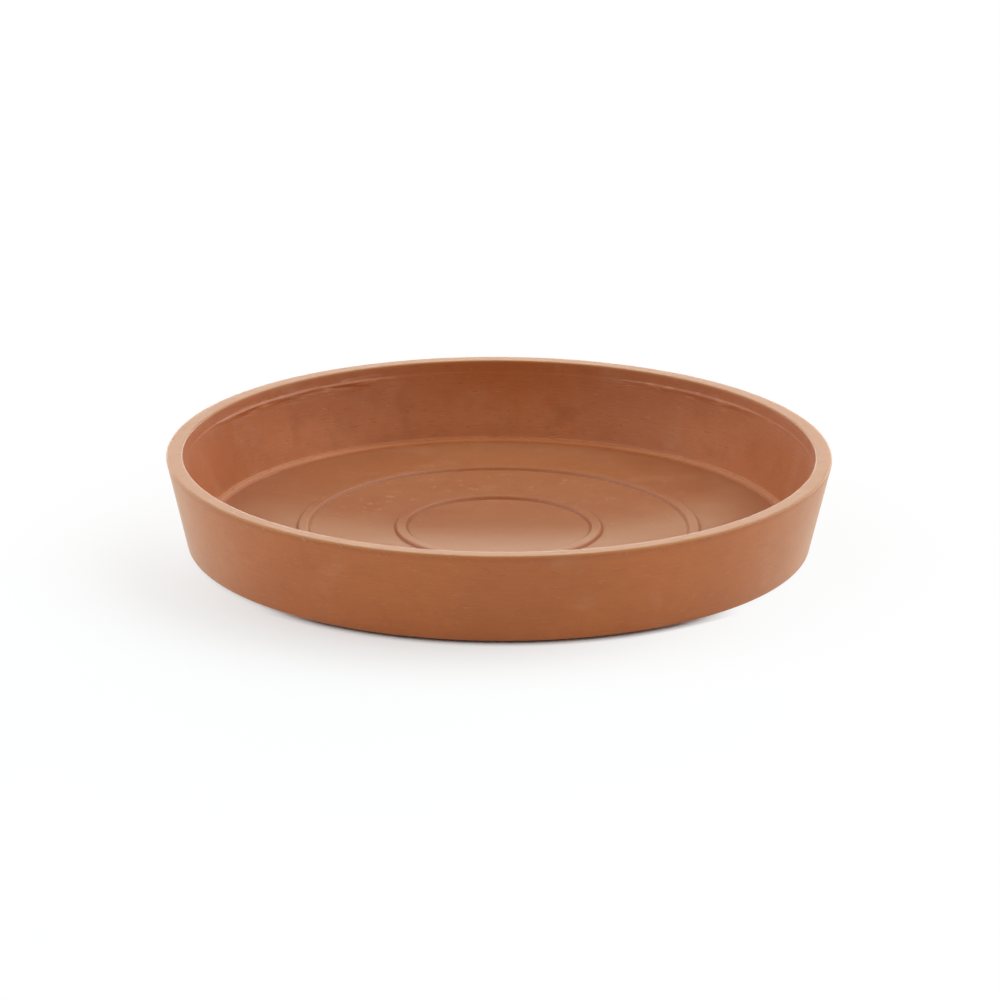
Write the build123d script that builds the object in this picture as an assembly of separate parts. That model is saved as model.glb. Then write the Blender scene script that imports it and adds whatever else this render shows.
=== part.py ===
from build123d import *
import math
import os

# Round plant saucer: a low moulded dish with a flared wall and two pot rings,
# standing on thin round pads set in sockets in its underside.
# Millimetres. The origin is on the ground under the middle of the dish, and +Z is up.

# Dish
rim_diameter = 300.0
dish_height = 41.5
wall_lean = 13.0
rim_width = 7.5
floor_thickness = 5.4
rim_round = 1.3
rim_inner_round = 0.7
base_round = 1.2

# Shallow step around the inside of the wall, just below the rim
lip_depth = 4.6
lip_step = 0.7

# Rounded ledge at the foot of the inside wall
ledge_width = 4.2
ledge_height = 1.2

# Low rings on the floor that hold a pot clear of the water
ring_count = 2
ring_width = 5.2
ring_height = 1.2
ring_draft = 30.0
ring_edge_round = 0.4

# Pads under the base, each in a shallow socket
pad_count = 6
pad_diameter = 20.0
pad_thickness = 2.0
pad_inset = 22.0
socket_depth = 0.8
socket_clearance = 0.3

# Heights and radii that follow from the sizes above
underside_z = pad_thickness - socket_depth
floor_z = underside_z + floor_thickness
rim_z = underside_z + dish_height
ledge_z = floor_z + ledge_height
seat_z = floor_z + ring_height
wall_slope = math.tan(math.radians(wall_lean))
# The rim edge is rounded, so its sharp corner lies just outside the finished diameter.
rim_corner_radius = rim_diameter / 2 + rim_round * (wall_slope + math.hypot(1, wall_slope) - 1)
rim_inner_radius = rim_corner_radius - rim_width
base_radius = rim_corner_radius - wall_slope * dish_height
lip_z = rim_z - lip_depth
wall_foot_radius = rim_inner_radius - lip_step - wall_slope * (rim_z - ledge_z)
ledge_radius = wall_foot_radius - ledge_width
# The rings and the crown of the ledge are evenly spaced from the centre.
ledge_crown_radius = wall_foot_radius - ledge_width / 4
ring_pitch = ledge_crown_radius / (ring_count + 1)
pad_circle_radius = base_radius - pad_inset - pad_diameter / 2


def round_corners(face, radius, corners):
    """Rounds the corners of a flat outline that lie at the given (radius, height) points."""
    for corner_radius, corner_z in corners:
        corner = Vector(corner_radius, 0, corner_z)
        nearest = min(face.vertices(), key=lambda vertex: (Vector(vertex) - corner).length)
        face = fillet(nearest, radius)
    return face


def dish_section():
    """Half section of the dish without its rings, with every moulded edge rounded."""
    lip_radius = rim_inner_radius - wall_slope * lip_depth
    shoulder_z = lip_z - lip_step
    shoulder_radius = rim_inner_radius - lip_step - wall_slope * (rim_z - shoulder_z)
    outline = Polyline(
        (0, 0, underside_z),
        (base_radius, 0, underside_z),
        (rim_corner_radius, 0, rim_z),
        (rim_inner_radius, 0, rim_z),
        (lip_radius, 0, lip_z),
        (shoulder_radius, 0, shoulder_z),
        (wall_foot_radius, 0, ledge_z),
        (ledge_radius, 0, ledge_z),
        (ledge_radius, 0, floor_z),
        (0, 0, floor_z),
        close=True,
    )
    ledge_round = 0.7 * min(ledge_height, ledge_width)
    crease_round = 0.25 * min(ledge_height, ledge_width)
    section = make_face(outline)
    section = round_corners(section, base_round, [(base_radius, underside_z)])
    section = round_corners(section, rim_round, [(rim_corner_radius, rim_z)])
    section = round_corners(section, rim_inner_round, [(rim_inner_radius, rim_z)])
    section = round_corners(section, ledge_round, [(ledge_radius, ledge_z)])
    return round_corners(section, crease_round, [(ledge_radius, floor_z), (wall_foot_radius, ledge_z)])


def pot_ring(ring_radius):
    """A low flat-topped ring with sloping sides and eased edges, let into the floor so that they join."""
    half_foot = ring_width / 2
    half_seat = half_foot - ring_height * math.tan(math.radians(ring_draft))
    sunk_z = floor_z - floor_thickness / 2
    outline = Polyline(
        (ring_radius - half_foot, 0, sunk_z),
        (ring_radius - half_foot, 0, floor_z),
        (ring_radius - half_seat, 0, seat_z),
        (ring_radius + half_seat, 0, seat_z),
        (ring_radius + half_foot, 0, floor_z),
        (ring_radius + half_foot, 0, sunk_z),
        close=True,
    )
    edges = [(ring_radius - half_seat, seat_z), (ring_radius + half_seat, seat_z)]
    return revolve(round_corners(make_face(outline), ring_edge_round, edges), Axis.Z)


def pad_places(z):
    """Places of the pads around the base, at one height."""
    return [
        Rot(0, 0, 360 * index / pad_count) * Pos(pad_circle_radius, 0, z)
        for index in range(pad_count)
    ]


def saucer_dish():
    """The moulded dish: wall, floor and rings in one piece, with the pad sockets cut from below."""
    dish = revolve(dish_section(), Axis.Z)
    for number in range(1, ring_count + 1):
        dish = dish + pot_ring(number * ring_pitch)
    socket = Cylinder(
        pad_diameter / 2 + socket_clearance,
        socket_depth,
        align=(Align.CENTER, Align.CENTER, Align.MIN),
    )
    for place in pad_places(underside_z):
        dish = dish - place * socket
    return dish


def base_pad():
    """One round pad with its lower edge eased; its top face lies against the socket."""
    disc = Cylinder(pad_diameter / 2, pad_thickness, align=(Align.CENTER, Align.CENTER, Align.MIN))
    lower_edge = disc.edges().filter_by(GeomType.CIRCLE).sort_by(Axis.Z)[0]
    return fillet(lower_edge, 0.2 * pad_thickness)


os.makedirs("parts", exist_ok=True)
export_step(saucer_dish(), "parts/saucer_dish.step")
for number, place in enumerate(pad_places(0), start=1):
    export_step(place * base_pad(), f"parts/base_pad_{number}.step")
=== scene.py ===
import math
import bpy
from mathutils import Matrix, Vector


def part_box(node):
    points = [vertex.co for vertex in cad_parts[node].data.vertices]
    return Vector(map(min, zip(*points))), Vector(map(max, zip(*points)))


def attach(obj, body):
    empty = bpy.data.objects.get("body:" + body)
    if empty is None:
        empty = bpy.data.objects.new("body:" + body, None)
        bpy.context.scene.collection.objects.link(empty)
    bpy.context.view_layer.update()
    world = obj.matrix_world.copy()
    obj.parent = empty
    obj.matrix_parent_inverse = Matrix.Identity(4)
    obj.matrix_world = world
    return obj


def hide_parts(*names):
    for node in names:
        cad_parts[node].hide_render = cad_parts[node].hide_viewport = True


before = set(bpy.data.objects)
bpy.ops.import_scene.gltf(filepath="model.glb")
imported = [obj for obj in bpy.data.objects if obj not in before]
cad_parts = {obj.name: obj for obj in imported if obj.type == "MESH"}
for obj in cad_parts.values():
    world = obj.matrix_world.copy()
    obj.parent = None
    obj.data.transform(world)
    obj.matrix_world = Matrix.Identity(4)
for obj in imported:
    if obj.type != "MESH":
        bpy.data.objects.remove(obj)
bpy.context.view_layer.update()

from types import SimpleNamespace

import bmesh
import bpy
from mathutils import Matrix, Vector, noise

MM = 0.001

# Sizes of the dish that its box doesn't give
WALL_LEAN = math.radians(13.0)
RIM_WIDTH = 7.5 * MM
RIM_ROUND = 0.9 * MM
RIM_INNER_ROUND = 0.7 * MM
BASE_ROUND = 1.2 * MM
FLOOR_THICKNESS = 5.4 * MM
LIP_DEPTH = 4.6 * MM
LIP_STEP = 0.7 * MM
LIP_BEAD = 1.8 * MM
LIP_BEAD_ROUND = 0.6 * LIP_STEP

# Ledge at the foot of the inside wall, a soft step with its toe, brow and crown set out from its crest
LEDGE_WIDTH = 4.2 * MM
LEDGE_HEIGHT = 1.2 * MM
LEDGE_ROUND = 0.9 * MM
LEDGE_TOE = 2.5 * MM
LEDGE_BROW = 0.7 * MM
LEDGE_CROWN = 0.3 * MM
LEDGE_CROWN_RISE = 0.1 * MM
WALL_FOOT_ROUND = 0.3 * MM

# Low rings on the floor, with a fine groove at each foot
RING_COUNT = 2
RING_WIDTH = 5.2 * MM
RING_HEIGHT = 1.2 * MM
RING_DRAFT = math.radians(30.0)
RING_EDGE_ROUND = 0.9 * MM
GROOVE_WIDTH = 0.9 * MM
GROOVE_DEPTH = 0.35 * MM
GROOVE_ROUND = 0.15 * MM

# Sockets for the pads, and the flat kept around the underside
SOCKET_CLEARANCE = 0.3 * MM
UNDERSIDE_MARGIN = 3 * BASE_ROUND

# Fineness of the turned mesh
SEGMENTS = 480
SOCKET_SEGMENTS = 64
LONGEST_RUN = 1.4 * MM
ARC_STEP = math.radians(15.0)

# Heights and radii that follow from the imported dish
dish_low, dish_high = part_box("saucer_dish")
underside_z = dish_low.z
rim_z = dish_high.z
floor_z = underside_z + FLOOR_THICKNESS
ledge_z = floor_z + LEDGE_HEIGHT
lip_z = rim_z - LIP_DEPTH
rim_radius = (dish_high.x - dish_low.x) / 2
wall_slope = math.tan(WALL_LEAN)
rim_corner_radius = rim_radius + RIM_ROUND * (wall_slope + math.hypot(1, wall_slope) - 1)
rim_inner_radius = rim_corner_radius - RIM_WIDTH
wall_middle_radius = rim_corner_radius - RIM_WIDTH / 2
base_radius = rim_corner_radius - wall_slope * (rim_z - underside_z)
wall_foot_radius = rim_inner_radius - LIP_STEP - wall_slope * (rim_z - ledge_z)
ledge_radius = wall_foot_radius - LEDGE_WIDTH
crest_radius = wall_foot_radius - LEDGE_WIDTH / 3
ring_pitch = (wall_foot_radius - LEDGE_WIDTH / 4) / (RING_COUNT + 1)
pad_names = sorted(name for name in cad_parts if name.startswith("base_pad"))


# Outline of the dish

def rounded_outline(corners):
    """Points along (radius, z, rounding) corners, with every rounded corner turned on an arc."""
    points = [Vector(corners[0][:2])]
    for before, corner, after in zip(corners, corners[1:], corners[2:]):
        middle = Vector(corner[:2])
        back = (Vector(before[:2]) - middle).normalized()
        ahead = (Vector(after[:2]) - middle).normalized()
        half = math.acos(max(-1.0, min(1.0, back.dot(ahead)))) / 2
        centre = middle + (back + ahead).normalized() * corner[2] / math.sin(half)
        start = middle + back * corner[2] / math.tan(half) - centre
        sweep = math.pi - 2 * half
        if back.x * ahead.y - back.y * ahead.x > 0:
            sweep = -sweep
        steps = max(2, math.ceil(abs(sweep) / ARC_STEP))
        for step in range(steps + 1):
            points.append(centre + Matrix.Rotation(sweep * step / steps, 2) @ start)
    points.append(Vector(corners[-1][:2]))
    return points


def with_short_runs(points):
    """The same outline with its long runs divided, so that the surface can be shaped along them."""
    divided = [points[0]]
    for start, end in zip(points, points[1:]):
        pieces = max(1, math.ceil((end - start).length / LONGEST_RUN))
        for piece in range(1, pieces + 1):
            divided.append(start.lerp(end, piece / pieces))
    return divided


def ring_corners(ring_radius):
    """Corners of one ring and its two grooves, from the middle of the floor outwards."""
    seat_z = floor_z + RING_HEIGHT
    groove_z = floor_z - GROOVE_DEPTH
    half_seat = RING_WIDTH / 2 - RING_HEIGHT * math.tan(RING_DRAFT)
    half_foot = RING_WIDTH / 2 + GROOVE_DEPTH * math.tan(RING_DRAFT)
    return [
        (ring_radius - half_foot - GROOVE_WIDTH, floor_z, RING_EDGE_ROUND),
        (ring_radius - half_foot, groove_z, GROOVE_ROUND),
        (ring_radius - half_seat, seat_z, RING_EDGE_ROUND),
        (ring_radius + half_seat, seat_z, RING_EDGE_ROUND),
        (ring_radius + half_foot, groove_z, GROOVE_ROUND),
        (ring_radius + half_foot + GROOVE_WIDTH, floor_z, RING_EDGE_ROUND),
    ]


def dish_outline():
    """Half section from the middle of the floor, over the rim, to the flat of the underside."""
    crown_z = ledge_z + LEDGE_CROWN_RISE
    shoulder_z = lip_z - LIP_STEP
    lip_radius = rim_inner_radius - wall_slope * LIP_DEPTH
    shoulder_radius = rim_inner_radius - LIP_STEP - wall_slope * (rim_z - shoulder_z)
    corners = [(0.0, floor_z, 0.0)]
    for number in range(1, RING_COUNT + 1):
        corners += ring_corners(number * ring_pitch)
    corners += [
        (crest_radius - LEDGE_TOE, floor_z, 2 * LEDGE_ROUND),
        (crest_radius - LEDGE_BROW, ledge_z - LEDGE_CROWN_RISE, LEDGE_ROUND),
        (crest_radius + LEDGE_CROWN, crown_z, LEDGE_ROUND),
        (wall_foot_radius, crown_z, WALL_FOOT_ROUND),
        (shoulder_radius - wall_slope * LIP_BEAD, shoulder_z - LIP_BEAD, LIP_STEP),
        (shoulder_radius - LIP_STEP / 2, shoulder_z, LIP_BEAD_ROUND),
        (lip_radius, lip_z, LIP_STEP),
        (rim_inner_radius, rim_z, RIM_INNER_ROUND),
        (rim_corner_radius, rim_z, RIM_ROUND),
        (base_radius, underside_z, BASE_ROUND),
        (base_radius - UNDERSIDE_MARGIN, underside_z, 0.0),
    ]
    return with_short_runs(rounded_outline(corners))


# Unevenness of the surface: how far it strays from its true shape

WALL_WANDER = 0.12 * MM
FLOOR_WANDER = 0.12 * MM
LEDGE_WANDER = 0.35 * MM
LIP_WANDER = 0.55 * MM
LEDGE_SPREAD = 1.8 * MM

# Shares of their height by which the rings vary and the ledge sinks behind
RING_WANDER = 0.25
LEDGE_SINK = 0.4

# How far the spread ledge and the missing lip run out into the surface next to them
LEDGE_BLEND = 20.0 * MM
LEDGE_SINK_BLEND = 2.0 * MM
LIP_BLEND = 12.0 * MM

# Noise waves per metre
WALL_WAVES = 14.0
RING_WAVES = 22.0
FLOOR_WAVES = 28.0
LEDGE_WAVES = 80.0
LIP_WAVES = 55.0
RAGGED_WAVES = Vector((90.0, 90.0, 700.0))
RING_WAVE_SHIFT = Vector((3.0, 0.0, 0.0))

# Shares of the way from the middle of the back, or of the front, to the side
LEDGE_SOFT_TO_CRISP = (0.2, 0.7)
LIP_LEFT_START = (0.30, 0.50)
LIP_LEFT_END = (0.98, 0.80)
LIP_RIGHT_START = (0.40, 0.55)
LIP_RIGHT_END = (0.88, 0.76)

# The lip's usual fullness, how much that varies, and the depths below it where it is ragged
LIP_FULLNESS = 0.7
LIP_BREAKS = 0.6
RAGGED_START = (-2.0 * MM, 0.5 * MM)
RAGGED_END = (7.0 * MM, 2.0 * MM)
RAGGED_LEAST = 0.2
RAGGED_LEFT = (0.0, -0.3 * rim_radius)


def smooth_step(low, high, value):
    """0 below one value and 1 above the other, with a smooth way between them."""
    share = max(0.0, min(1.0, (value - low) / (high - low)))
    return share * share * (3 - 2 * share)


def behind_share(point):
    """1 behind and in front, where the ledge is softer, and 0 at the sides."""
    return 1 - smooth_step(*LEDGE_SOFT_TO_CRISP, abs(point.x) / math.hypot(point.x, point.y, MM))


def wall_wander(point):
    """How far a wall point strays from its true radius."""
    return WALL_WANDER * noise.noise(point * WALL_WAVES)


def uneven_floor(point):
    """The height of a floor point, with low swells, rings fuller in places and a ledge that sinks behind."""
    rise = max(0.0, point.z - floor_z)
    fullness = RING_WANDER * noise.noise(point * RING_WAVES + RING_WAVE_SHIFT)
    on_ledge = smooth_step(ledge_radius - LEDGE_SINK_BLEND, ledge_radius, math.hypot(point.x, point.y))
    fullness -= (LEDGE_SINK * behind_share(point) + fullness) * on_ledge
    return point.z + FLOOR_WANDER * noise.noise(point * FLOOR_WAVES) + fullness * rise


def uneven_ledge(point, radius):
    """The radius of a floor point, with a wavy ledge that is spread towards the middle behind."""
    near = smooth_step(ledge_radius - LEDGE_BLEND, ledge_radius, radius)
    free = smooth_step(wall_foot_radius, ledge_radius, radius)
    moved = LEDGE_WANDER * noise.noise(point * LEDGE_WAVES) - LEDGE_SPREAD * behind_share(point)
    return radius + near * (wall_wander(point) + free * moved)


def lip_share(point):
    """How full the lip is at a point: broken along its length, gone behind and at the far sides."""
    aside = abs(point.x) / math.hypot(point.x, point.y)
    if point.x < 0:
        share = smooth_step(*LIP_LEFT_START, aside) * smooth_step(*LIP_LEFT_END, aside)
    else:
        share = smooth_step(*LIP_RIGHT_START, aside) * smooth_step(*LIP_RIGHT_END, aside)
    breaks = noise.noise(Vector((point.x * LIP_WAVES, point.y * LIP_WAVES, 0.0)))
    return share * (LIP_FULLNESS + LIP_BREAKS * breaks)


def uneven_wall(point):
    """The radius of an inside wall point, with a broken lip that is ragged on the left."""
    radius = math.hypot(point.x, point.y)
    lip = lip_share(point)
    below = lip_z - point.z
    step = rim_inner_radius - wall_slope * (rim_z - point.z) - radius
    if step > 0:
        radius += step * (1 - lip) * math.exp(-max(0.0, below) / LIP_BLEND)
    near_lip = smooth_step(*RAGGED_START, below) * smooth_step(*RAGGED_END, below)
    ragged = noise.noise(point * RAGGED_WAVES)
    ragged *= RAGGED_LEAST + smooth_step(*RAGGED_LEFT, point.x)
    return radius + wall_wander(point) - LIP_WANDER * lip * near_lip * ragged


def uneven(point):
    """A point of the dish above its underside, moved from its true place to where the moulding left it."""
    radius = math.hypot(point.x, point.y)
    if point.z < underside_z + 2 * BASE_ROUND or radius == 0:
        return point
    z = point.z
    leaning = radius + wall_slope * (rim_z - z)
    if leaning > wall_middle_radius or z > rim_z - RIM_ROUND:
        new_radius = radius + wall_wander(point)
    elif z > ledge_z + 2 * LEDGE_CROWN_RISE and radius > ledge_radius:
        new_radius = uneven_wall(point)
    else:
        new_radius = uneven_ledge(point, radius)
        z = uneven_floor(point)
    scale = new_radius / radius
    return Vector((point.x * scale, point.y * scale, z))


# Dish mesh

def circle_loop(mesh, centre, radius, z, segments):
    """A closed loop of vertices and edges around a centre, at one height."""
    loop = []
    for index in range(segments):
        angle = math.tau * index / segments
        x = centre.x + radius * math.cos(angle)
        y = centre.y + radius * math.sin(angle)
        loop.append(mesh.verts.new((x, y, z)))
    edges = [mesh.edges.new((loop[index - 1], loop[index])) for index in range(segments)]
    return loop, edges


def bridge(mesh, first, second):
    """Smooth faces between two loops of the same length."""
    for index in range(len(first)):
        face = mesh.faces.new((first[index - 1], first[index], second[index], second[index - 1]))
        face.smooth = True


def turned_skin(mesh):
    """The uneven skin turned from the dish's outline, and the edges around its open underside."""
    outline = dish_outline()
    centre = mesh.verts.new((0, 0, outline[0].y))
    rows = []
    for point in outline[1:]:
        row, edges = circle_loop(mesh, Vector((0, 0, 0)), point.x, point.y, SEGMENTS)
        rows.append(row)
    for index in range(SEGMENTS):
        face = mesh.faces.new((centre, rows[0][index - 1], rows[0][index]))
        face.smooth = True
    for first, second in zip(rows, rows[1:]):
        bridge(mesh, first, second)
    for vertex in mesh.verts:
        vertex.co = uneven(vertex.co)
    return edges


def pad_socket(mesh, pad_low, pad_high):
    """The socket around one pad, and the edges of its mouth."""
    middle = (pad_low + pad_high) / 2
    radius = (pad_high.x - pad_low.x) / 2 + SOCKET_CLEARANCE
    mouth, mouth_edges = circle_loop(mesh, middle, radius, underside_z, SOCKET_SEGMENTS)
    top, top_edges = circle_loop(mesh, middle, radius, pad_high.z, SOCKET_SEGMENTS)
    bridge(mesh, mouth, top)
    mesh.faces.new(top)
    for edge in mouth_edges + top_edges:
        edge.smooth = False
    return mouth_edges


def dish_mesh():
    """The dish turned from its outline, with the flat underside and its pad sockets."""
    mesh = bmesh.new()
    underside_edges = turned_skin(mesh)
    for name in pad_names:
        pad_low, pad_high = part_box(name)
        underside_edges = underside_edges + pad_socket(mesh, pad_low, pad_high)
    bmesh.ops.triangle_fill(mesh, edges=underside_edges, use_beauty=True)
    bmesh.ops.recalc_face_normals(mesh, faces=mesh.faces)
    return mesh


def mesh_object(name, mesh):
    """Puts a finished mesh in the scene as a named object."""
    data = bpy.data.meshes.new(name)
    mesh.to_mesh(data)
    mesh.free()
    piece = bpy.data.objects.new(name, data)
    bpy.context.scene.collection.objects.link(piece)
    return piece


dish = mesh_object("dish_skin", dish_mesh())
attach(dish, "root")
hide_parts("saucer_dish")


# Shader building

def add_node(tree, kind, inputs=None, **settings):
    """A shader node with its settings made and its inputs set or linked."""
    node = tree.nodes.new("ShaderNode" + kind)
    for name, value in settings.items():
        setattr(node, name, value)
    for name, value in (inputs or {}).items():
        if isinstance(value, bpy.types.NodeSocket):
            tree.links.new(value, node.inputs[name])
        else:
            node.inputs[name].default_value = value
    return node


def calculate(tree, operation, *values):
    """One step of arithmetic on numbers or sockets."""
    return add_node(tree, "Math", dict(enumerate(values)), operation=operation).outputs["Value"]


def measure(tree, operation, *vectors):
    """One number from one vector or two: a length, a distance or a dot product."""
    return add_node(tree, "VectorMath", dict(enumerate(vectors)), operation=operation).outputs["Value"]


def product(tree, *values):
    """Numbers or sockets multiplied together."""
    result = values[0]
    for value in values[1:]:
        result = calculate(tree, "MULTIPLY", result, value)
    return result


def largest(tree, *values):
    """The largest of some numbers or sockets."""
    result = values[0]
    for value in values[1:]:
        result = calculate(tree, "MAXIMUM", result, value)
    return result


def lessened(tree, share, amount=1.0):
    """1 where a share is 0, and less by an amount where the share is 1."""
    return calculate(tree, "MULTIPLY_ADD", share, -amount, 1.0)


def between(tree, value, low, high):
    """0 at one value and 1 at the other, with a smooth way between them."""
    inputs = {"Value": value, "From Min": low, "From Max": high}
    return add_node(tree, "MapRange", inputs, interpolation_type="SMOOTHSTEP").outputs["Result"]


def band(tree, value, start, end):
    """1 along a band of values, with a smooth way in and a smooth way out."""
    return product(tree, between(tree, value, *start), between(tree, value, *end))


def cloud(tree, place, scale, detail=3.0, stretch=(1.0, 1.0, 1.0), shift=0.0):
    """Soft noise whose patches are about one over the scale across."""
    mapping = {"Vector": place, "Scale": stretch, "Location": (shift, shift, shift)}
    moved = add_node(tree, "Mapping", mapping).outputs["Vector"]
    inputs = {"Vector": moved, "Scale": scale, "Detail": detail}
    return add_node(tree, "TexNoise", inputs).outputs["Fac"]


def panel(tree, strength, along):
    """A strength that grows as a direction turns towards one side."""
    facing = calculate(tree, "MAXIMUM", along, 0.0)
    return product(tree, facing, facing, strength)


def blend(tree, share, first, second):
    """One colour turning into another."""
    return add_node(tree, "Mix", {0: share, 6: first, 7: second}, data_type="RGBA").outputs[2]


def new_material(name):
    """An empty material, its node tree and its shader."""
    material = bpy.data.materials.new(name)
    material.use_nodes = True
    tree = material.node_tree
    return material, tree, tree.nodes["Principled BSDF"]


# Terracotta colours of the dish

CLAY_INSIDE = (0.40, 0.112, 0.027, 1)
CLAY_FLOOR = (0.37, 0.126, 0.040, 1)
CLAY_OUTSIDE = (0.47, 0.130, 0.024, 1)
CLAY_DEEP = (0.31, 0.078, 0.016, 1)
# Painted shade for the feet of the rings
CLAY_CREASE_SHADE = (0.32, 0.074, 0.000, 1)
# Painted light for the lower inside wall
CLAY_FOOT_LIGHT = (0.53, 0.190, 0.075, 1)
# Tan for the top of the rim: partly wear, partly a painted highlight
CLAY_RIM_WEAR_AND_HIGHLIGHT = (0.38, 0.150, 0.034, 1)
# Painted highlight for the ledge's crest
CLAY_LEDGE_HIGHLIGHT = (0.55, 0.225, 0.095, 1)
# Pale tan for dust smudges, and for the painted pool of light on the front of the floor
CLAY_DUST_AND_LIGHT = (0.50, 0.255, 0.145, 1)
CHALK = (0.68, 0.39, 0.23, 1)

# Painted shade at the feet of the rings, from the inner ring outwards
CREASE_SHADE_STRENGTHS = (0.85, 0.45)
CREASE_REACH = 0.9 * MM

# Painted light on the floor, a pale pool that grows away from a place near the back
FLOOR_LIGHT_START = (-0.05 * rim_radius, 0.92 * rim_radius, 0.0)
FLOOR_LIGHT_REACH = (0.84 * rim_radius, 1.12 * rim_radius)
POT_SHADE = 0.035 * rim_radius
BACK_FLOOR_LIGHT = 0.3

# How far each kind of mark stands out of the surface, as a share of the bump's distance
MARK_RISES = {"brushing": 0.25, "grooves": -0.5, "pits": -0.6, "ridges": 0.4, "scuffs": 0.6}

# Squeezes that draw noise out into level streaks
SCUFF_STREAKS = (1.0, 1.0, 7.0)
LEVEL_STREAKS = (1.0, 1.0, 5.0)
LONG_STREAKS = (1.0, 1.0, 14.0)


def clay_place(tree, place):
    """A point's level place, radius, depth below the rim, ways aside and back, and share of the inside."""
    x, y, z = add_node(tree, "SeparateXYZ", {"Vector": place}).outputs
    level = add_node(tree, "CombineXYZ", {"X": x, "Y": y}).outputs["Vector"]
    radius = measure(tree, "LENGTH", level)
    depth = calculate(tree, "SUBTRACT", rim_z, z)
    leaning = calculate(tree, "MULTIPLY_ADD", depth, wall_slope, radius)
    return SimpleNamespace(
        level=level,
        radius=radius,
        depth=depth,
        aside=calculate(tree, "ABSOLUTE", x),
        back=y,
        inside=between(tree, leaning, wall_middle_radius + 0.5 * MM, wall_middle_radius - 0.5 * MM),
    )


def crease_shade_zone(tree, at):
    """Painted shade along both feet of each ring: most at the inner ring, and half as much behind as at the
    sides.
    """
    turned = between(tree, calculate(tree, "DIVIDE", at.aside, at.radius), 0.25, 0.75)
    shade_by_side = calculate(tree, "MULTIPLY_ADD", turned, 0.5, 0.5)
    share = 0.0
    for number, shade_strength in enumerate(CREASE_SHADE_STRENGTHS, start=1):
        for foot in (number * ring_pitch - RING_WIDTH / 2, number * ring_pitch + RING_WIDTH / 2):
            away = calculate(tree, "ABSOLUTE", calculate(tree, "SUBTRACT", at.radius, foot))
            line = product(tree, between(tree, away, CREASE_REACH, 0.0), shade_strength)
            share = calculate(tree, "MAXIMUM", share, line)
    return product(tree, share, shade_by_side, at.inside)


def lip_zone(tree, at):
    """The lip and the wall just below it, on both sides."""
    start_aside = (0.25 * rim_radius, 0.5 * rim_radius)
    end_aside = (0.9 * rim_radius, 0.7 * rim_radius)
    start_depth = (LIP_DEPTH - 2.5 * MM, LIP_DEPTH)
    end_depth = (LIP_DEPTH + 6.0 * MM, LIP_DEPTH + 2.0 * MM)
    sides = band(tree, at.aside, start_aside, end_aside)
    return product(tree, band(tree, at.depth, start_depth, end_depth), sides, at.inside)


def ring_gap_zone(tree, at):
    """The back of the floor between the rings."""
    start_radius = (ring_pitch + 6.0 * MM, ring_pitch + 14.0 * MM)
    end_radius = (2 * ring_pitch - 6.0 * MM, 2 * ring_pitch - 14.0 * MM)
    ledge_depth = rim_z - ledge_z
    return product(
        tree,
        band(tree, at.radius, start_radius, end_radius),
        between(tree, at.back, 0.0, 30.0 * MM),
        between(tree, at.depth, ledge_depth, ledge_depth + 0.5 * MM),
    )


def edge_zone(tree, at):
    """A narrow band of the outside, just under the rim, which takes painted shade and pale scuffs."""
    under_rim = band(tree, at.depth, (0.5 * MM, 1.0 * MM), (4.0 * MM, 1.6 * MM))
    return product(tree, lessened(tree, at.inside), under_rim)


def lit_wall_foot_zone(tree, at):
    """The lower part of the inside wall, which takes painted light, less so at the far sides."""
    wall_height = rim_z - floor_z
    far_aside = between(tree, at.aside, 0.65 * rim_radius, 0.85 * rim_radius)
    return product(
        tree,
        at.inside,
        between(tree, at.depth, 0.15 * wall_height, 0.75 * wall_height),
        between(tree, at.radius, ledge_radius, wall_foot_radius),
        lessened(tree, far_aside, 0.7),
    )


def ledge_highlight_zone(tree, at):
    """The crest of the ledge, which takes a painted highlight, follows its spread behind and fades there."""
    behind = between(tree, at.aside, 0.7 * rim_radius, 0.2 * rim_radius)
    unspread = calculate(tree, "MULTIPLY_ADD", behind, LEDGE_SPREAD, at.radius)
    across = calculate(tree, "SUBTRACT", unspread, crest_radius)
    crest = band(tree, across, (-1.9 * MM, -0.2 * MM), (1.5 * MM, 1.2 * MM))
    return product(tree, at.inside, lessened(tree, behind, 0.45), crest)


def floor_light_zone(tree, at, floor):
    """Painted light on the front of the floor, held back a little inside the inner ring by painted shade, and
    a trace of it behind.
    """
    from_back = measure(tree, "DISTANCE", at.level, FLOOR_LIGHT_START)
    under_pot = between(tree, at.radius, ring_pitch + 3.0 * MM, ring_pitch - 3.0 * MM)
    from_back = calculate(tree, "MULTIPLY_ADD", under_pot, -POT_SHADE, from_back)
    near_middle = between(tree, at.aside, 0.82 * rim_radius, 0.58 * rim_radius)
    in_front = product(tree, near_middle, between(tree, from_back, *FLOOR_LIGHT_REACH))
    behind = product(tree, between(tree, at.back, 0.55 * rim_radius, 0.85 * rim_radius), BACK_FLOOR_LIGHT)
    return product(tree, floor, largest(tree, in_front, behind))


def clay_zones(tree, place):
    """Shares of the places on the dish that have a colour or wear of their own, and of those where light or
    shade is painted.
    """
    at = clay_place(tree, place)
    floor = product(tree, at.inside, between(tree, at.radius, ledge_radius, ledge_radius - 4.0 * MM))
    rim = between(tree, at.depth, 0.9 * MM, 0.3 * MM)
    return {
        "inside": at.inside,
        "outside": product(tree, lessened(tree, at.inside), lessened(tree, rim)),
        "rim": rim,
        "edge": edge_zone(tree, at),
        "lip": lip_zone(tree, at),
        "wall_foot": lit_wall_foot_zone(tree, at),
        "ledge": ledge_highlight_zone(tree, at),
        "floor": floor,
        "front_floor_light": floor_light_zone(tree, at, floor),
        "ring_foot_shade": crease_shade_zone(tree, at),
        "ring_gap": ring_gap_zone(tree, at),
    }


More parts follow.
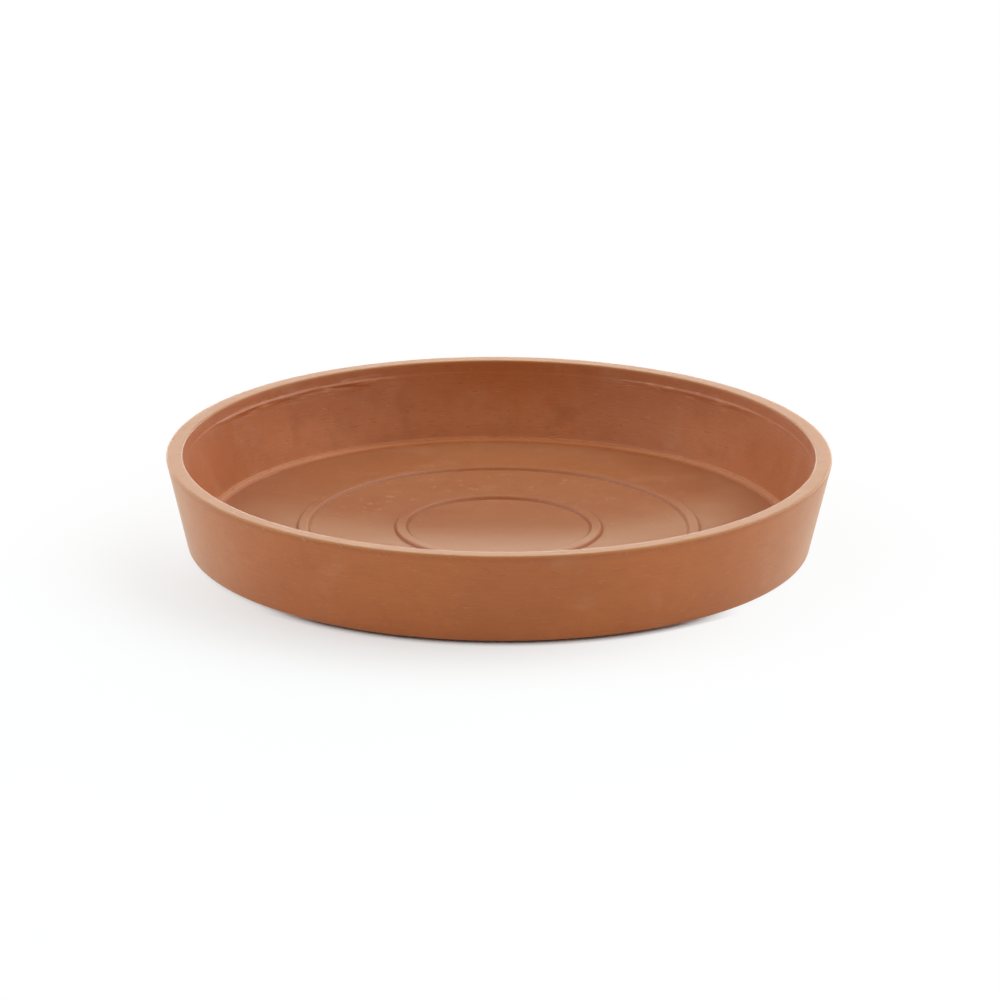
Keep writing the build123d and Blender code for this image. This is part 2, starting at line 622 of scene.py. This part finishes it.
def clay_marks(tree, place, zones):
    """Shares of the marks on the clay: level brush dashes, pits, specks, and pale scuffs where things rub."""
    brushing = cloud(tree, place, 90.0, 4.0, LONG_STREAKS, 7.0)
    dashes = cloud(tree, place, 240.0, 2.0, LEVEL_STREAKS)
    other_dashes = cloud(tree, place, 240.0, 2.0, LEVEL_STREAKS, 9.0)
    flecks = cloud(tree, place, 420.0, 3.0, shift=4.0)
    lip_streaks = between(tree, cloud(tree, place, 130.0, 4.0, SCUFF_STREAKS, 2.0), 0.52, 0.66)
    floor_flecks = between(tree, cloud(tree, place, 210.0, 3.0, shift=6.0), 0.61, 0.69)
    edge_flecks = between(tree, flecks, 0.64, 0.70)
    return {
        "brushing": between(tree, brushing, 0.30, 0.70),
        "grooves": between(tree, dashes, 0.63, 0.71),
        "ridges": between(tree, other_dashes, 0.66, 0.74),
        "pits": between(tree, flecks, 0.30, 0.24),
        "specks": between(tree, flecks, 0.74, 0.80),
        "scuffs": largest(
            tree,
            product(tree, lip_streaks, zones["lip"]),
            product(tree, floor_flecks, zones["ring_gap"]),
            product(tree, edge_flecks, zones["edge"]),
        ),
    }


def clay_colour(tree, place, zones, marks):
    """Clay colour laid on in layers: places, blotches, dust smudges, painted light and shade, and the marks
    on top.
    """
    blotches = between(tree, cloud(tree, place, 24.0, 5.0), 0.40, 0.66)
    stains = between(tree, cloud(tree, place, 55.0, 4.0, shift=8.0), 0.50, 0.72)
    smudges = between(tree, cloud(tree, place, 46.0, 4.0, shift=12.0), 0.54, 0.72)
    mottling = between(tree, cloud(tree, place, 150.0, 4.0), 0.42, 0.70)
    brush_strength = calculate(tree, "MULTIPLY_ADD", zones["outside"], 0.12, 0.08)
    groove_strength = calculate(tree, "MULTIPLY_ADD", zones["floor"], -0.30, 0.40)
    layers = [
        (zones["inside"], CLAY_INSIDE),
        (zones["floor"], CLAY_FLOOR),
        # Painted light on the lower part of the inside wall
        (product(tree, zones["wall_foot"], 0.8), CLAY_FOOT_LIGHT),
        (product(tree, blotches, 0.22), CLAY_DEEP),
        (product(tree, stains, zones["inside"], 0.34), CLAY_DEEP),
        (product(tree, smudges, 0.18), CLAY_DUST_AND_LIGHT),
        (product(tree, mottling, 0.14), CLAY_DEEP),
        (product(tree, marks["brushing"], brush_strength), CLAY_DEEP),
        # Painted pool of light on the front of the floor, with painted shade inside the inner ring
        (product(tree, zones["front_floor_light"], 0.8), CLAY_DUST_AND_LIGHT),
        # Painted highlight along the ledge's crest
        (product(tree, zones["ledge"], 0.9), CLAY_LEDGE_HIGHLIGHT),
        # Painted shade along the feet of the rings
        (zones["ring_foot_shade"], CLAY_CREASE_SHADE),
        # Painted shade just under the rim's outer edge
        (product(tree, zones["edge"], 0.25), CLAY_DEEP),
        # Tan on the top of the rim: partly wear, partly a painted highlight
        (product(tree, zones["rim"], 0.85), CLAY_RIM_WEAR_AND_HIGHLIGHT),
        (product(tree, marks["grooves"], groove_strength), CLAY_DEEP),
        (product(tree, marks["pits"], 0.35), CLAY_DEEP),
        (product(tree, marks["ridges"], 0.14), CHALK),
        (product(tree, marks["specks"], 0.30), CHALK),
        (product(tree, marks["scuffs"], 0.22), CHALK),
    ]
    colour = CLAY_OUTSIDE
    for share, layer in layers:
        colour = blend(tree, share, colour, layer)
    return colour


def clay_height(tree, place, marks):
    """Height of the fine relief, as a share of the bump's distance."""
    grain = cloud(tree, place, 800.0, 3.0, shift=1.0)
    swell = cloud(tree, place, 90.0, 3.0, shift=5.0)
    height = calculate(tree, "MULTIPLY_ADD", grain, 0.20, product(tree, swell, 0.6))
    for mark, rise in MARK_RISES.items():
        height = calculate(tree, "MULTIPLY_ADD", marks[mark], rise, height)
    return height


def terracotta_material():
    """Smooth terracotta with a soft sheen, scuffed where pots rub, its rim tan from wear and a painted
    highlight, with painted light on the ledge's crest, the foot of the inside wall and the front of the
    floor, and painted shade at the ring feet and under the rim.
    """
    material, tree, shader = new_material("terracotta")
    place = add_node(tree, "TexCoord").outputs["Object"]
    zones = clay_zones(tree, place)
    marks = clay_marks(tree, place, zones)
    tree.links.new(clay_colour(tree, place, zones, marks), shader.inputs["Base Color"])
    wear = cloud(tree, place, 60.0, 4.0, shift=3.0)
    unworn = calculate(tree, "MULTIPLY_ADD", zones["outside"], -0.16, 0.44)
    roughness = calculate(tree, "MULTIPLY_ADD", wear, 0.16, unworn)
    tree.links.new(roughness, shader.inputs["Roughness"])
    shader.inputs["Specular IOR Level"].default_value = 0.15
    shader.inputs["Coat Weight"].default_value = 1.0
    shader.inputs["Coat IOR"].default_value = 1.4
    shader.inputs["Coat Roughness"].default_value = 0.42
    relief = {"Height": clay_height(tree, place, marks), "Distance": 0.12 * MM, "Strength": 0.6}
    normal = add_node(tree, "Bump", relief).outputs["Normal"]
    tree.links.new(normal, shader.inputs["Normal"])
    tree.links.new(normal, shader.inputs["Coat Normal"])
    return material


# Dark rubber of the pads

RUBBER = (0.030, 0.028, 0.026, 1)
RUBBER_DUSTY = (0.075, 0.068, 0.060, 1)


def rubber_material():
    """Dull dark rubber with a dusty bloom and a fine grain."""
    material, tree, shader = new_material("pad_rubber")
    place = add_node(tree, "TexCoord").outputs["Object"]
    bloom = between(tree, cloud(tree, place, 260.0, 4.0), 0.40, 0.68)
    grain = cloud(tree, place, 1600.0, 2.0, shift=2.0)
    tree.links.new(blend(tree, bloom, RUBBER, RUBBER_DUSTY), shader.inputs["Base Color"])
    roughness = calculate(tree, "MULTIPLY_ADD", bloom, 0.2, 0.7)
    tree.links.new(roughness, shader.inputs["Roughness"])
    relief = {"Height": grain, "Distance": 0.05 * MM, "Strength": 0.6}
    tree.links.new(add_node(tree, "Bump", relief).outputs["Normal"], shader.inputs["Normal"])
    return material


dish.data.materials.append(terracotta_material())
pad_rubber = rubber_material()
for name in pad_names:
    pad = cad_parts[name]
    pad.data.materials.clear()
    pad.data.materials.append(pad_rubber)


# Stage of white paper

PURE_WHITE = (1, 1, 1, 1)
WARM_WHITE = (1.0, 0.985, 0.93, 1)
WARM_PAPER = (1.0, 0.97, 0.80, 1)
STAGE_WHITE = (0.85, 0.89, 0.94, 1)
STAGE_HALF_SIDE = 4.0
STAGE_LIFT = 0.92
SHADOW_DEPTH = 0.52
SHADOW_SIDE = (-0.45, -0.89, 0.0)

# The dark gap under the base: its reach, its side, and how far round from there it fades out
GAP_REACH = 4.0 * MM
GAP_SIDE = (0.0, -1.0, 0.0)
GAP_FADE = (0.85, 0.65)


def stage_lift(tree):
    """How far the paper is lifted to plain white: least on the shadow's side, not at all in the gap."""
    place = add_node(tree, "TexCoord").outputs["Object"]
    radius = measure(tree, "LENGTH", place)
    shadow_side = calculate(tree, "DIVIDE", measure(tree, "DOT_PRODUCT", place, SHADOW_SIDE), radius)
    gap_side = calculate(tree, "DIVIDE", measure(tree, "DOT_PRODUCT", place, GAP_SIDE), radius)
    lift = calculate(tree, "SUBTRACT", STAGE_LIFT, panel(tree, SHADOW_DEPTH, shadow_side))
    beside_gap = between(tree, gap_side, *GAP_FADE)
    beyond_gap = between(tree, radius, base_radius, base_radius + GAP_REACH)
    return product(tree, largest(tree, beside_gap, beyond_gap), lift)


def stage_material():
    """White paper, lifted towards plain white where it is seen directly or in a reflection."""
    material, tree, shader = new_material("studio_white")
    shader.inputs["Base Color"].default_value = STAGE_WHITE
    shader.inputs["Roughness"].default_value = 1.0
    shader.inputs["Specular IOR Level"].default_value = 0.0
    rays = add_node(tree, "LightPath").outputs
    paper = blend(tree, rays["Is Camera Ray"], WARM_PAPER, PURE_WHITE)
    white = add_node(tree, "Emission", {"Color": paper, "Strength": 1.0}).outputs["Emission"]
    seen = largest(tree, rays["Is Camera Ray"], rays["Is Glossy Ray"], rays["Is Transmission Ray"])
    lifted = {0: product(tree, seen, stage_lift(tree)), 1: shader.outputs["BSDF"], 2: white}
    mixed = add_node(tree, "MixShader", lifted).outputs["Shader"]
    tree.links.new(mixed, tree.nodes["Material Output"].inputs["Surface"])
    return material


floor_mesh = bmesh.new()
bmesh.ops.create_grid(floor_mesh, x_segments=1, y_segments=1, size=STAGE_HALF_SIDE)
floor = mesh_object("studio_floor", floor_mesh)
floor.data.materials.append(stage_material())


# Light of a white tent: bright sides, a bright low panel behind, and little from the camera's side

LEFT_PANEL = 2.20
RIGHT_PANEL = 2.30
BACK_PANEL = 0.30
WALL_RISE = 4.0
LOW_PANEL = 4.6
LOW_PANEL_TOP = math.sin(math.radians(14.5))
LOW_PANEL_EDGE = 0.02
TOP_PANEL = 0.52

# One soft lamp, behind and to the right, that throws the shadow forward and left
KEY_WATTS = 3.0
KEY_SIDE = 0.9
KEY_AZIMUTH = math.radians(50.0)
KEY_ELEVATION = math.radians(48.0)
LAMP_DISTANCE = 1.5


def studio_world():
    """The tent's light by direction, and plain white to the camera."""
    world = bpy.data.worlds.new("studio")
    world.use_nodes = True
    tree = world.node_tree
    direction = add_node(tree, "TexCoord").outputs["Generated"]
    x, y, z = add_node(tree, "SeparateXYZ", {"Vector": direction}).outputs
    up = calculate(tree, "MAXIMUM", z, 0.0)
    left_wall = panel(tree, LEFT_PANEL, product(tree, x, -1.0))
    walls = calculate(tree, "ADD", left_wall, panel(tree, RIGHT_PANEL, x))
    walls = calculate(tree, "ADD", walls, panel(tree, BACK_PANEL, y))
    rise = calculate(tree, "DIVIDE", product(tree, up, WALL_RISE), calculate(tree, "ADD", up, 1.0))
    low = between(tree, up, LOW_PANEL_TOP + LOW_PANEL_EDGE, LOW_PANEL_TOP - LOW_PANEL_EDGE)
    light = calculate(tree, "MULTIPLY_ADD", walls, rise, panel(tree, TOP_PANEL, up))
    light = calculate(tree, "MULTIPLY_ADD", low, panel(tree, LOW_PANEL, y), light)
    camera = add_node(tree, "LightPath").outputs["Is Camera Ray"]
    seen = add_node(tree, "Mix", {0: camera, 2: light, 3: 1.0}, data_type="FLOAT").outputs[0]
    tree.links.new(seen, tree.nodes["Background"].inputs["Strength"])
    tint = blend(tree, camera, WARM_WHITE, PURE_WHITE)
    tree.links.new(tint, tree.nodes["Background"].inputs["Color"])
    return world


def key_lamp():
    """A square lamp turned to the dish, its azimuth counted from behind towards the right."""
    data = bpy.data.lights.new("key", "AREA")
    data.shape = "SQUARE"
    data.size = KEY_SIDE
    data.energy = KEY_WATTS
    data.color = WARM_WHITE[:3]
    lamp = bpy.data.objects.new("key", data)
    level = math.cos(KEY_ELEVATION)
    right = math.sin(KEY_AZIMUTH) * level
    behind = math.cos(KEY_AZIMUTH) * level
    lamp.location = Vector((right, behind, math.sin(KEY_ELEVATION))) * LAMP_DISTANCE
    lamp.rotation_euler = lamp.location.to_track_quat("Z", "Y").to_euler()
    bpy.context.scene.collection.objects.link(lamp)


bpy.context.scene.world = studio_world()
key_lamp()


# The photograph's view, found by fitting the rim, the outline and the rings; the frame is 1000 pixels wide

FRAME_SIDE = 1000
FOCAL_PIXELS = 5985.2
RIM_CENTRE_PIXEL = (498.83, 451.35)
CAMERA_DISTANCE = 18 * rim_radius
CAMERA_ELEVATION = math.radians(17.523)
CAMERA_ROLL = math.radians(0.31)
CAMERA_REACH = 50.0
SENSOR_WIDTH = 36.0


def photo_camera():
    """A camera that shows the rim's centre at its place in the photograph."""
    data = bpy.data.cameras.new("photo_camera")
    data.sensor_width = SENSOR_WIDTH
    data.lens = FOCAL_PIXELS / FRAME_SIDE * SENSOR_WIDTH
    data.clip_end = CAMERA_REACH
    camera = bpy.data.objects.new("photo_camera", data)
    rim_centre = Vector((0, 0, rim_z))
    toward = Vector((0, math.cos(CAMERA_ELEVATION), -math.sin(CAMERA_ELEVATION)))
    pitch = math.atan2(RIM_CENTRE_PIXEL[1] - FRAME_SIDE / 2, FOCAL_PIXELS)
    yaw = math.atan2(RIM_CENTRE_PIXEL[0] - FRAME_SIDE / 2, FOCAL_PIXELS)
    aim = Matrix.Rotation(math.pi / 2 - CAMERA_ELEVATION + pitch, 4, "X")
    turn = Matrix.Rotation(yaw, 4, "Y")
    roll = Matrix.Rotation(CAMERA_ROLL, 4, "Z")
    place = Matrix.Translation(rim_centre - toward * CAMERA_DISTANCE)
    camera.matrix_world = place @ aim @ turn @ roll
    bpy.context.scene.collection.objects.link(camera)
    bpy.context.scene.camera = camera


photo_camera()
bpy.context.scene.view_settings.view_transform = "Standard"
